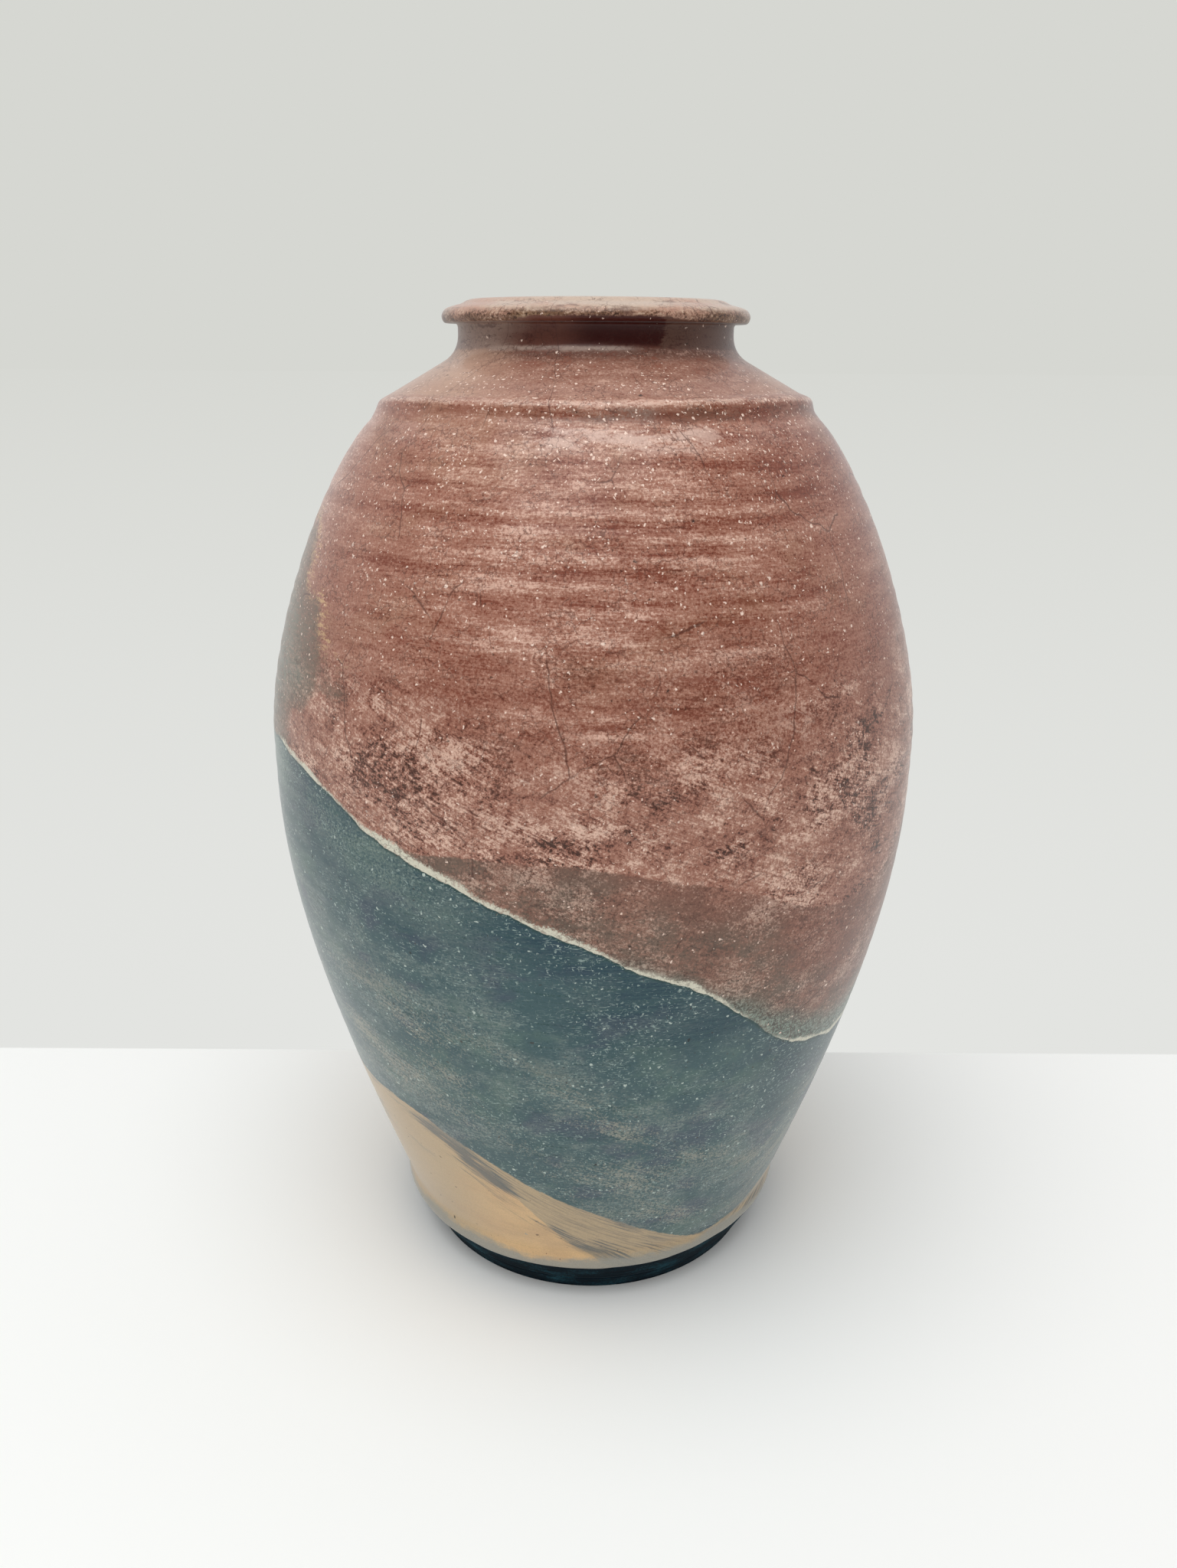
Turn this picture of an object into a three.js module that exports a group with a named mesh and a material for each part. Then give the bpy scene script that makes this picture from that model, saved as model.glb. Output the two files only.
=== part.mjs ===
// A wheel-thrown raku vase: five clay sections luted end to end, an outer glaze and a lining glaze.
// Millimetres, +Z up, origin at the centre of the ring that the vase stands on.
import * as THREE from "three";

// Heights of the finished vase from the ground up, glaze included
const bareFootHeight = 14.8; // bare smoked clay, below the edge of the glaze
const waistBandHeight = 6.2; // upright band over the foot
const lowerBodyRise = 156; // from the waist to the widest line
const upperBodyRise = 91; // from the widest line to the step under the ridge
const ridgeRise = 5; // the step under the shoulder's ridge
const shoulderRise = 12.9; // from the ridge to the foot of the neck
const neckRise = 7.7; // from the foot of the neck to the underside of the lip
const lipRise = 6.4; // from the underside of the lip to its crest
const lipEdgeRise = 1.6; // from the underside of the lip to its widest line

// Radii of the finished vase, glaze included
const footRadius = 57;
const waistRadius = 65.4;
const bellyRadius = 99;
const ridgeFootRadius = 65;
const mouthRadius = 32.2;

// Steps from one radius to the next
const ridgeInset = 2.6; // from the foot of the step up to the ridge
const neckWall = 7.2; // from the mouth to the outside of the neck
const lipOverhang = 4.3; // from the neck to the widest line of the lip
const crestInset = 2.3; // from the mouth to the crest of the lip

// Lean of the body's walls from the vertical at both ends
const waistLean = THREE.MathUtils.degToRad(19.7);
const shoulderLean = THREE.MathUtils.degToRad(46.6);

// How far the body's curves hold their direction, from the waist, to and from the belly, to the ridge
const waistPull = 108;
const bellyPullBelow = 23;
const bellyPullAbove = 27.7;
const ridgePull = 21.1;

// Walls and floor, and the curves of the inside
const wall = 7.4;
const floorThickness = 10;
const floorFillet = 13; // where the floor turns up into the wall
const throatDepth = 13; // below the crest, where the inside turns upright
const throatPullBelow = 17;
const throatPullAbove = 9;

// Standing ring
const footRecess = 6;
const footRingWidth = 10;
const footEase = 0.8; // worn outer edge

// Rounded corners, measured along the faces that meet there
const ridgeEase = 1.1;
const neckFillet = 5;
const underLipFillet = 1.1;
const lipEdgeEase = 1.3;
const lipShoulder = 1.5; // how far the lip's dome stays upright over its widest line
const crestPull = 3.5; // how far the dome stays level beside its crest
const mouthEase = 2.3;

// Glazes, and the clearance between a glaze and what it lies on or meets
const glazeThickness = 0.6;
const glazeClearance = 0.3;
const outerGlazeDepth = 10; // below the crest, inside the mouth, where the lining glaze takes over

// Luted joints of the clay
const bellyJointDrop = 12; // below the widest line
const lipJointDrop = 2.2; // below the underside of the lip

// Straight steps that stand for each round stretch
const facetsAround = 48;
const lowerBodySteps = 7;
const upperBodySteps = 6;
const easedSteps = 2;
const neckSteps = 3;
const lipDomeSteps = 3;
const throatSteps = 4;
const floorSteps = 3;

const ridgeRadius = ridgeFootRadius - ridgeInset;
const neckRadius = mouthRadius + neckWall;
const lipRadius = neckRadius + lipOverhang;
const crestRadius = mouthRadius + crestInset;
const waistHeight = bareFootHeight + waistBandHeight;
const bellyHeight = waistHeight + lowerBodyRise;
const ridgeFootHeight = bellyHeight + upperBodyRise;
const ridgeHeight = ridgeFootHeight + ridgeRise;
const neckHeight = ridgeHeight + shoulderRise;
const lipHeight = neckHeight + neckRise;
const crestHeight = lipHeight + lipRise;
const floorHeight = footRecess + floorThickness;
const bellyJointHeight = bellyHeight - bellyJointDrop;
const lipJointHeight = lipHeight - lipJointDrop;
const outerGlazeEnd = crestHeight - outerGlazeDepth;

const at = (radius, height) => new THREE.Vector2(radius, height);

// A step of the given length, leaning from the vertical towards larger radii.
const leaning = (lean, length) => at(Math.sin(lean), Math.cos(lean)).multiplyScalar(length);

// A curve that leaves its start and reaches its end with the given lean and pull.
function bodyCurve(start, startLean, startPull, end, endLean, endPull) {
  const leave = start.clone().add(leaning(startLean, startPull));
  const arrive = end.clone().sub(leaning(endLean, endPull));
  return new THREE.CubicBezierCurve(start, leave, arrive, end);
}

// A corner replaced by a curve that starts and ends at the given distance from it.
function easedCorner(before, corner, after, distance) {
  const start = corner.clone().add(before.clone().sub(corner).setLength(distance));
  const end = corner.clone().add(after.clone().sub(corner).setLength(distance));
  return new THREE.QuadraticBezierCurve(start, corner, end);
}

// A profile moved to the left of its own direction, by one distance all along.
function movedLeft(profile, distance) {
  return profile.map((point, i) => {
    const before = profile[i - 1];
    const after = profile[i + 1];
    const arriving = before ? point.clone().sub(before) : after.clone().sub(point);
    const leaving = after ? after.clone().sub(point) : arriving;
    const left = at(-arriving.y, arriving.x).normalize();
    const between = left.clone().add(at(-leaving.y, leaving.x).normalize()).normalize();
    return point.clone().addScaledVector(between, distance / between.dot(left));
  });
}

// The point of a straight line at a height.
function pointAtHeight(from, to, height) {
  const share = (height - from.y) / (to.y - from.y);
  return at(from.x + (to.x - from.x) * share, height);
}

// A profile with a point added wherever it crosses a height.
function cutAt(profile, height) {
  return profile.flatMap((point, i) => {
    const before = profile[i - 1];
    const crosses = before && (before.y - height) * (point.y - height) < 0;
    return crosses ? [pointAtHeight(before, point, height), point] : [point];
  });
}

// The stretch of a profile between two heights, with its ends exactly there.
function stretch(profile, low, high) {
  return cutAt(cutAt(profile, low), high).filter(({ y }) => y >= low && y <= high);
}

// The body's own line, from the waist over the belly to the step under the ridge
const waist = at(waistRadius, waistHeight);
const belly = at(bellyRadius, bellyHeight);
const ridgeFoot = at(ridgeFootRadius, ridgeFootHeight);
const lowerCurve = bodyCurve(waist, waistLean, waistPull, belly, 0, bellyPullBelow);
const upperCurve = bodyCurve(belly, 0, bellyPullAbove, ridgeFoot, -shoulderLean, ridgePull);
const bodyProfile = [
  ...lowerCurve.getSpacedPoints(lowerBodySteps),
  ...upperCurve.getSpacedPoints(upperBodySteps).slice(1),
];
const crest = at(crestRadius, crestHeight);

// The finished outside, from the edge of the glaze up to the crest of the lip
function outsideProfile() {
  const ridge = at(ridgeRadius, ridgeHeight);
  const neckCorner = at(neckRadius, neckHeight);
  const lipCorner = at(neckRadius, lipHeight);
  const lipEdgeStart = at(lipRadius - lipEdgeEase, lipHeight);
  const lipEdgeCorner = at(lipRadius, lipHeight);
  const widest = at(lipRadius, lipHeight + lipEdgeRise);
  const lipEdge = new THREE.QuadraticBezierCurve(lipEdgeStart, lipEdgeCorner, widest);
  const dome = new THREE.CubicBezierCurve(
    widest,
    at(lipRadius, widest.y + lipShoulder),
    at(crestRadius + crestPull, crestHeight),
    crest,
  );
  return [
    at(waistRadius, bareFootHeight),
    ...bodyProfile,
    ...easedCorner(ridgeFoot, ridge, neckCorner, ridgeEase).getPoints(easedSteps),
    ...easedCorner(ridge, neckCorner, lipCorner, neckFillet).getPoints(neckSteps),
    ...easedCorner(neckCorner, lipCorner, lipEdgeCorner, underLipFillet).getPoints(1),
    ...lipEdge.getPoints(easedSteps),
    ...dome.getPoints(lipDomeSteps).slice(1),
  ];
}

// The finished inside, from beside the crest of the lip down to the middle of the floor
function insideProfile() {
  const mouthCorner = at(mouthRadius, crestHeight);
  const mouthStart = at(mouthRadius, crestHeight - mouthEase);
  const mouthCurve = new THREE.QuadraticBezierCurve(crest, mouthCorner, mouthStart);
  const throatEnd = at(mouthRadius, crestHeight - throatDepth);
  const innerBody = stretch(movedLeft(bodyProfile, wall), floorHeight + floorFillet, crestHeight);
  const throatStart = innerBody.at(-1);
  const throat = bodyCurve(
    throatStart, -shoulderLean, throatPullBelow, throatEnd, 0, throatPullAbove,
  );
  const wallFoot = innerBody[0];
  const floorCorner = wallFoot.clone().sub(leaning(waistLean, floorFillet / Math.cos(waistLean)));
  const floorEdge = at(floorCorner.x - floorFillet, floorHeight);
  const floorCurve = new THREE.QuadraticBezierCurve(wallFoot, floorCorner, floorEdge);
  return [
    ...mouthCurve.getPoints(easedSteps).slice(1),
    ...throat.getPoints(throatSteps).reverse(),
    ...innerBody.slice(0, -1).reverse(),
    ...floorCurve.getPoints(floorSteps).slice(1),
    at(0, floorHeight),
  ];
}

// The finished faces, the backs of the glazes and the clay's own faces, each in one run
const outsideFace = outsideProfile();
const insideFace = insideProfile();
const finished = [...outsideFace, ...insideFace];
const glazeBack = movedLeft(finished, glazeThickness);
const clay = movedLeft(finished, glazeThickness + glazeClearance);
const outsideBack = glazeBack.slice(0, outsideFace.length);
const insideBack = glazeBack.slice(outsideFace.length);
const outsideClay = clay.slice(0, outsideFace.length);
const insideClay = clay.slice(outsideFace.length);

// The bare flank of the foot runs straight from the standing edge to the clay under the glaze.
const flankFoot = at(footRadius, footEase);
const flankJoint = pointAtHeight(flankFoot, outsideClay[0], footRecess);

const closed = (profile) => [...profile, profile[0]];

function footRing() {
  const innerRadius = footRadius - footRingWidth;
  return closed([
    at(innerRadius, 0),
    at(footRadius - footEase, 0),
    flankFoot,
    flankJoint,
    at(innerRadius, footRecess),
  ]);
}

function lowerSection() {
  return [
    at(0, footRecess),
    flankJoint,
    ...stretch(outsideClay, bareFootHeight, bellyJointHeight),
    ...stretch(insideClay, 0, bellyJointHeight),
  ];
}

function section(low, high) {
  return closed([...stretch(outsideClay, low, high), ...stretch(insideClay, low, high)]);
}

function outerGlaze() {
  const shown = [...outsideFace, ...stretch(insideFace, outerGlazeEnd, crestHeight)];
  const hidden = [...outsideBack, ...stretch(insideBack, outerGlazeEnd, crestHeight)];
  return closed([...shown, ...hidden.reverse()]);
}

function liningGlaze() {
  const top = outerGlazeEnd - glazeClearance;
  return [...stretch(insideBack, 0, top).reverse(), ...stretch(insideFace, 0, top)];
}

const smokedClay = { color: 0x1d2225, roughness: 0.92, metalness: 0 };
const biscuitClay = { color: 0x8c8177, roughness: 0.95, metalness: 0 };
const roseGlaze = { color: 0x9b6a60, roughness: 0.28, metalness: 0 };
const paleGlaze = { color: 0xb9aea2, roughness: 0.3, metalness: 0 };

// One named piece, its profile turned round the upright axis
function turned(name, profile, finish) {
  const geometry = new THREE.LatheGeometry(profile, facetsAround);
  geometry.rotateX(Math.PI / 2);
  const mesh = new THREE.Mesh(geometry, new THREE.MeshStandardMaterial(finish));
  mesh.name = name;
  return mesh;
}

const vase = new THREE.Group();
vase.name = "raku_vase";
vase.add(turned("foot_ring", footRing(), smokedClay));
vase.add(turned("lower_body", lowerSection(), biscuitClay));
vase.add(turned("upper_body", section(bellyJointHeight, ridgeFootHeight), biscuitClay));
vase.add(turned("shoulder_collar", section(ridgeFootHeight, lipJointHeight), biscuitClay));
vase.add(turned("lip_ring", section(lipJointHeight, crestHeight), biscuitClay));
vase.add(turned("outer_glaze", outerGlaze(), roseGlaze));
vase.add(turned("lining_glaze", liningGlaze(), paleGlaze));

export default vase;
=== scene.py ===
import math

import bmesh
import bpy
from mathutils import Matrix, Vector, noise
from mathutils.geometry import interpolate_bezier


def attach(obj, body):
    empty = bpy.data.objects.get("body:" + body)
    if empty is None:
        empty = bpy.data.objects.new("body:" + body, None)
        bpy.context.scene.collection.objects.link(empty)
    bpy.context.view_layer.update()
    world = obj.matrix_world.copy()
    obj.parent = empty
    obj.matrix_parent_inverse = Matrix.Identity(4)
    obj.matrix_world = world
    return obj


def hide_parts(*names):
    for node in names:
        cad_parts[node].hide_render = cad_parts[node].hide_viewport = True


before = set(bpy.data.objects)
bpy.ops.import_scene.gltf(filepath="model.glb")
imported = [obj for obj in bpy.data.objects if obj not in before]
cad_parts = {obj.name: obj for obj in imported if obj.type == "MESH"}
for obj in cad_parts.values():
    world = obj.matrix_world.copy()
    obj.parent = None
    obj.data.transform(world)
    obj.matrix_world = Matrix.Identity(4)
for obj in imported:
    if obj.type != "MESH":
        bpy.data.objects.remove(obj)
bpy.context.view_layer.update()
mm = 0.001

# The pot's drawing in millimetres, with the lengths of the clay model; pulls shape its curves
potShape = {
    "footRadius": 57, "footEase": 0.8, "ringWidth": 10, "recess": 6,
    "glazeEdge": 14.8, "waist": (65.4, 21), "waistLean": 19.7, "waistPull": 108,
    "belly": (99, 177), "bellyPullBelow": 23, "bellyPullAbove": 27.7,
    "ridgeFoot": (65, 268), "ridgeLean": 46.6, "ridgePull": 21.1,
    "ridge": (62.4, 273), "ridgeEase": 1.1,
    "neck": (39.4, 285.9), "neckFillet": 5,
    "lip": (43.7, 293.6), "lipEase": 1.3, "lipEdgeRise": 1.6, "lipShoulder": 1.5, "underLip": 1.1,
    "crest": (34.5, 300), "crestPull": 3.5,
    "mouthRadius": 32.2, "mouthEase": 2.3, "throatDepth": 13, "throatPullBelow": 17, "throatPullAbove": 9,
    "wall": 7.4, "floor": 16, "floorFillet": 13,
    "glaze": 0.6, "clearance": 0.3, "glazeEnd": 290, "bellyJoint": 165,
    # the glaze's lower edge, from the waist's radius and the edge's height
    "bead": ((-0.8, 0.05), (-0.1, -0.15), (0.15, 0.7), (0.08, 2)), "coatBack": 0.9,
}

# Into how many steps each run of the outside line is cut, and each turned piece round the pot
lineSteps = {
    "lower": 130, "upper": 80, "ridgeFoot": 9, "ridge": 6, "shoulder": 24,
    "neck": 10, "lipRoot": 4, "lipEdge": 5, "dome": 14, "bead": 6, "throat": 12,
}
turnSteps = {"glaze": 208, "lining": 128, "clay": 192}


def point(radius, height):
    return Vector((radius, 0, height)) * mm


def leaning(degrees, length):
    lean = math.radians(degrees)
    return Vector((math.sin(lean), 0, math.cos(lean))) * length * mm


def rounded(start, corner, end, steps):
    # a curve that sets out towards the corner and arrives from it
    return interpolate_bezier(start, start.lerp(corner, 2 / 3), end.lerp(corner, 2 / 3), end, steps + 1)


def eased(before, middle, after, reach, steps):
    # a corner rounded off over one reach along both of its sides
    start = middle + (before - middle).normalized() * reach * mm
    end = middle + (after - middle).normalized() * reach * mm
    return rounded(start, middle, end, steps)


def straight(start, end, steps):
    return [start.lerp(end, i / steps) for i in range(steps + 1)]


def joined(*runs):
    # one profile out of several, with each shared point kept once
    profile = []
    for spot in (spot for run in runs for spot in run):
        if not profile or (spot - profile[-1]).length > 0.01 * mm:
            profile.append(spot)
    return profile


def setIn(profile, depth):
    # a profile moved to its left, which is into the clay
    moved = []
    for i, spot in enumerate(profile):
        along = (profile[min(i + 1, len(profile) - 1)] - profile[max(i - 1, 0)]).normalized()
        moved.append(spot + Vector((-along.z, 0, along.x)) * depth * mm)
    return moved


def between(profile, low, high):
    return [spot for spot in profile if low * mm - 1e-7 <= spot.z <= high * mm + 1e-7]


def bodyLine(lowerSteps, upperSteps):
    shape = potShape
    waist, belly, ridgeFoot = point(*shape["waist"]), point(*shape["belly"]), point(*shape["ridgeFoot"])
    lower = interpolate_bezier(
        waist, waist + leaning(shape["waistLean"], shape["waistPull"]),
        belly - leaning(0, shape["bellyPullBelow"]), belly, lowerSteps + 1)
    upper = interpolate_bezier(
        belly, belly + leaning(0, shape["bellyPullAbove"]),
        ridgeFoot - leaning(-shape["ridgeLean"], shape["ridgePull"]), ridgeFoot, upperSteps + 1)
    return joined(lower, upper)


def outsideLine(fineness=1):
    # from the waist over the belly, the ridge, the neck and the lip to the lip's crest
    def steps(run):
        return max(2, round(lineSteps[run] * fineness))

    shape = potShape
    ridgeFoot, ridge = point(*shape["ridgeFoot"]), point(*shape["ridge"])
    neck, crest = point(*shape["neck"]), point(*shape["crest"])
    lipRadius, lipHeight = shape["lip"]
    underLip = point(shape["neck"][0], lipHeight)
    lipStart, lipCorner = point(lipRadius - shape["lipEase"], lipHeight), point(lipRadius, lipHeight)
    widest = point(lipRadius, lipHeight + shape["lipEdgeRise"])
    ridgeRound = eased(ridgeFoot, ridge, neck, shape["ridgeEase"], steps("ridge"))
    neckRound = eased(ridge, neck, underLip, shape["neckFillet"], steps("neck"))
    lipRoot = eased(neck, underLip, lipCorner, shape["underLip"], steps("lipRoot"))
    lipEdge = rounded(lipStart, lipCorner, widest, steps("lipEdge"))
    dome = interpolate_bezier(
        widest, widest + leaning(0, shape["lipShoulder"]),
        crest + Vector((shape["crestPull"] * mm, 0, 0)), crest, steps("dome") + 1)
    return joined(
        bodyLine(steps("lower"), steps("upper")), straight(ridgeFoot, ridgeRound[0], steps("ridgeFoot")),
        ridgeRound, straight(ridgeRound[-1], neckRound[0], steps("shoulder")), neckRound,
        lipRoot, lipEdge, dome)


def insideLine(bodySteps, roundSteps):
    # from the lip's crest down the throat and the wall to the middle of the floor
    shape = potShape
    mouth, crest = shape["mouthRadius"], point(*shape["crest"])
    top = shape["crest"][1]
    mouthCorner, mouthStart = point(mouth, top), point(mouth, top - shape["mouthEase"])
    mouthRound = rounded(crest, mouthCorner, mouthStart, roundSteps)
    throatEnd = point(mouth, top - shape["throatDepth"])
    wallLine = setIn(bodyLine(bodySteps, bodySteps), shape["wall"])
    wallLine = between(wallLine, shape["floor"] + shape["floorFillet"], top)
    throat = interpolate_bezier(
        throatEnd, throatEnd - leaning(0, shape["throatPullAbove"]),
        wallLine[-1] + leaning(-shape["ridgeLean"], shape["throatPullBelow"]), wallLine[-1], 4 * roundSteps)
    floorCorner = wallLine[0] - leaning(shape["waistLean"], wallLine[0].z / mm - shape["floor"])
    floorCorner.z = shape["floor"] * mm
    floorMiddle = point(0, shape["floor"])
    floorRound = eased(wallLine[0], floorCorner, floorMiddle, shape["floorFillet"], 2 * roundSteps)
    return joined(
        mouthRound, straight(mouthStart, throatEnd, lineSteps["throat"]), throat, wallLine[::-1],
        floorRound, straight(floorRound[-1], floorMiddle, 6))


def bareFlank():
    # the bare clay's flank: its foot, where the standing ring ends, and its top under the glaze
    shape = potShape
    edge, ease = shape["glazeEdge"], shape["footEase"]
    top = point(shape["waist"][0] - shape["glaze"] - shape["clearance"], edge)
    foot = point(shape["footRadius"], ease)
    return foot, foot.lerp(top, (shape["recess"] - ease) / (edge - ease)), top


def spun(name, profile, around, closed, shares=None):
    # a profile turned about the pot's axis; shares say how far up the bake's map each point lies
    bm = bmesh.new()
    bm.verts.layers.float.new("groove")
    bm.verts.layers.float.new("level")
    share = bm.verts.layers.float.new("share")
    spots = [bm.verts.new(spot) for spot in profile]
    for i, spot in enumerate(spots):
        spot[share] = shares[i] if shares else i / len(spots)
    ends = spots[1:] + spots[:1] if closed else spots[1:]
    edges = [bm.edges.new(pair) for pair in zip(spots, ends)]
    bmesh.ops.spin(
        bm, geom=spots + edges, cent=(0, 0, 0), axis=(0, 0, 1), dvec=(0, 0, 0),
        angle=math.tau, steps=around, use_merge=True, use_duplicate=False)
    bmesh.ops.remove_doubles(bm, verts=bm.verts, dist=0.001 * mm)
    bmesh.ops.recalc_face_normals(bm, faces=bm.faces)
    level = bm.verts.layers.float["level"]
    for vert in bm.verts:
        vert[level] = vert.co.z / mm
    print(name, "has", sum(len(face.verts) - 2 for face in bm.faces), "triangles")
    return bm


def wrapMap(bm):
    # the bake's map goes once round the pot, with its seam at the back
    share = bm.verts.layers.float["share"]
    bakeMap = bm.loops.layers.uv.new("OFBake")
    for face in bm.faces:
        middle = face.calc_center_median()
        turn = math.atan2(middle.x, -middle.y)
        closing = max(vert[share] for vert in face.verts) - min(vert[share] for vert in face.verts) > 0.5
        for loop in face.loops:
            own = math.atan2(loop.vert.co.x, -loop.vert.co.y)
            own -= math.tau * round((own - turn) / math.tau)
            up = loop.vert[share]
            loop[bakeMap].uv = (0.5 + own / math.tau, 1.0 if closing and up < 0.5 else up)


def keep(bm, name, nodes):
    # the bmesh becomes a piece that stands for its clay model's nodes
    mesh = bpy.data.meshes.new(name)
    bm.to_mesh(mesh)
    bm.free()
    mesh.shade_smooth()
    piece = bpy.data.objects.new(name, mesh)
    bpy.context.collection.objects.link(piece)
    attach(piece, "root")
    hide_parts(*nodes)
    return piece


# Marks of the hand and the wheel in millimetres. The roll and the dip are a radius and a height, and
# other pairs are where a mark sets in and is whole; frontFrom has shares of the ridge's radius
throwing = {
    "ringPitch": 5.8, "ringWander": 0.5, "wanderRound": 1.2, "wanderRise": 13,
    "ringStrength": 0.6, "leastStrength": 0.15, "strengthRound": 1.6, "strengthRise": 8, "strengthShift": 7,
    "ringDepthLower": 0.08, "ringDepthUpper": 0.26, "deepening": (150, 215),
    "ringsFoot": (15, 24), "ringsTop": (250, 262), "wobble": 0.12, "wobbleGrain": 70,
    "ridgeTilt": 0.005, "frontLift": 1.3, "frontFrom": (0.1, 0.6), "tiltSpread": 26,
    "edgeTilt": 1.7, "edgeDrop": 0.7, "edgeSpread": 9,
    "edgeWave": 0.8, "waveRound": 3, "rippleShare": 0.4, "rippleRound": 11,
    "coveHeight": 270.3, "coveReach": 2.6, "coveDepth": 0.48,
    "ridgeEdge": 273.6, "ridgeReach": 1.6, "ridgeProud": 0.4, "worn": (-60, -20), "wornShare": 0.25,
    "roll": (42.6, 296.9), "rollReach": 3.2, "rollProud": 0.6, "lipWave": 0.22, "lipRound": 4,
    "dip": (38.4, 299.1), "dipReach": 2.2, "dipDepth": 0.35,
}


def fadeIn(value, low, high):
    share = min(max((value - low) / (high - low), 0), 1)
    return share * share * (3 - 2 * share)


def pressRings(bm, shown):
    # the wheel's spiral grooves and the hand's unevenness go inwards only, so the pot keeps its size
    marks, share, groove = throwing, bm.verts.layers.float["share"], bm.verts.layers.float["groove"]
    for vert in bm.verts:
        place = vert.co / mm
        turn = math.atan2(place.y, place.x)
        around = Vector((math.cos(turn), math.sin(turn), 0))
        climb = Vector((0, 0, place.z / marks["wanderRise"]))
        wander = marks["ringWander"] * noise.noise(around * marks["wanderRound"] + climb)
        climb = Vector((marks["strengthShift"], 0, place.z / marks["strengthRise"]))
        strength = marks["ringStrength"] + noise.noise(around * marks["strengthRound"] + climb)
        hollow = 0.5 - 0.5 * math.cos(math.tau * (place.z / marks["ringPitch"] + turn / math.tau + wander))
        vert[groove] = hollow * min(max(strength, marks["leastStrength"]), 1)
        if place.z > marks["ringsTop"][1] or vert[share] > shown:
            continue
        upper = fadeIn(place.z, *marks["deepening"])
        depth = marks["ringDepthLower"] + (marks["ringDepthUpper"] - marks["ringDepthLower"]) * upper
        depth *= fadeIn(place.z, *marks["ringsFoot"]) * (1 - fadeIn(place.z, *marks["ringsTop"]))
        wobble = marks["wobble"] * (0.5 + 0.5 * noise.noise(place / marks["wobbleGrain"]))
        press = depth * vert[groove] + wobble
        vert.co -= Vector((place.x, place.y, 0)).normalized() * press * mm


def shapeEdges(bm, shown):
    # a cove under the ridge's edge, and an uneven roll with a shallow dip inside it on the lip
    marks, share = throwing, bm.verts.layers.float["share"]
    bm.normal_update()
    for vert in bm.verts:
        if vert[share] > shown or vert.co.z < marks["ringsTop"][1] * mm:
            continue
        radius, height = Vector((vert.co.x, vert.co.y)).length / mm, vert.co.z / mm
        move = marks["ridgeProud"] * (1 - fadeIn(abs(height - marks["ridgeEdge"]), 0, marks["ridgeReach"]))
        move -= marks["coveDepth"] * (1 - fadeIn(abs(height - marks["coveHeight"]), 0, marks["coveReach"]))
        move *= marks["wornShare"] + (1 - marks["wornShare"]) * fadeIn(vert.co.x / mm, *marks["worn"])
        fromRoll = math.dist((radius, height), marks["roll"])
        fromDip = math.dist((radius, height), marks["dip"])
        around = Vector((vert.co.x, vert.co.y, 0)).normalized()
        uneven = marks["lipWave"] * noise.noise(around * marks["lipRound"])
        move += (marks["rollProud"] + uneven) * (1 - fadeIn(fromRoll, 0, marks["rollReach"]))
        move -= marks["dipDepth"] * (1 - fadeIn(fromDip, 0, marks["dipReach"]))
        vert.co += vert.normal * move * mm


def tiltRidge(bm):
    # the ridge leans a little, and rises a little in front
    marks, (ridgeRadius, ridgeHeight) = throwing, potShape["ridge"]
    for vert in bm.verts:
        near = 1 - fadeIn(abs(vert.co.z / mm - ridgeHeight), 0, marks["tiltSpread"])
        front = fadeIn(-vert.co.y / mm / ridgeRadius, *marks["frontFrom"])
        vert.co.z += (vert.co.x * marks["ridgeTilt"] + front * marks["frontLift"] * mm) * near


def waveEdge(bm):
    # the glaze stops along a wavy line, lower on one side, where it follows the flank inwards
    marks, edge = throwing, potShape["glazeEdge"]
    flankTop = potShape["waist"][0] - potShape["glaze"] - potShape["clearance"]
    flank = (flankTop - potShape["footRadius"]) / (edge - potShape["footEase"])
    for vert in bm.verts:
        near = 1 - fadeIn(vert.co.z / mm - edge, 0, marks["edgeSpread"])
        spot = Vector((vert.co.x, vert.co.y, 0)).normalized()
        ripple = marks["rippleShare"] * noise.noise(spot * marks["rippleRound"])
        rise = marks["edgeWave"] * (noise.noise(spot * marks["waveRound"]) + ripple)
        rise += marks["edgeTilt"] * spot.x - marks["edgeDrop"]
        vert.co.z += near * rise * mm
        vert.co -= spot * max(edge * mm - max(vert.co.z, 0), 0) * flank * fadeIn(-rise, 0, 0.3)


# how fine the outside line is on faces that don't show
coarse = 0.3


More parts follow.
